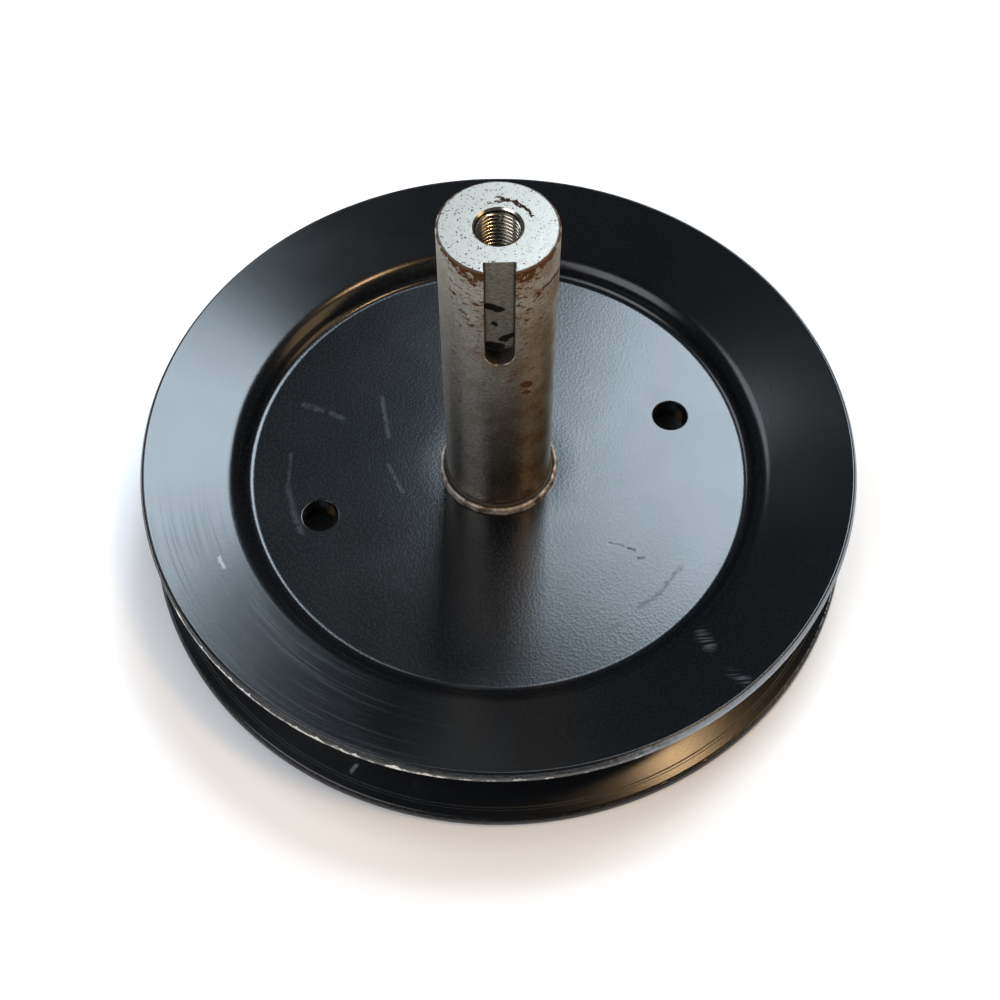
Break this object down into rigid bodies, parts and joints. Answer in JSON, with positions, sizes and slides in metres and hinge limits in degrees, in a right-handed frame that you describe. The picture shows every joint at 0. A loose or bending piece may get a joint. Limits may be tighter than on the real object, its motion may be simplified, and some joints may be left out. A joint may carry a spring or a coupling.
{
  "type": "v-belt pulley with shaft",
  "caption": "Pressed sheet-steel V-belt pulley welded to a keyed shaft with a tapped end, carrying belt drive to the shaft of a garden machine.",
  "frame": {"origin": "on the shaft's axis, in the plane that the lower rim stands on", "axes": "+Z along the shaft towards its tapped end, -Y towards the keyway"},
  "size_m": [0.1748, 0.1748, 0.1044],
  "materials": {
    "shaft_steel": "bright turned steel with brown rust flecks",
    "painted_sheet": "satin black paint, worn to bare metal at the rim edges",
    "weld_metal": "dull weld metal with traces of rust"
  },
  "bodies": {
    "root": {"shaft": "shaft_steel", "upper_pulley_half": "painted_sheet", "lower_pulley_half": "painted_sheet", "upper_weld_bead": "weld_metal", "lower_weld_bead": "weld_metal"}
  },
  "joints": []
}
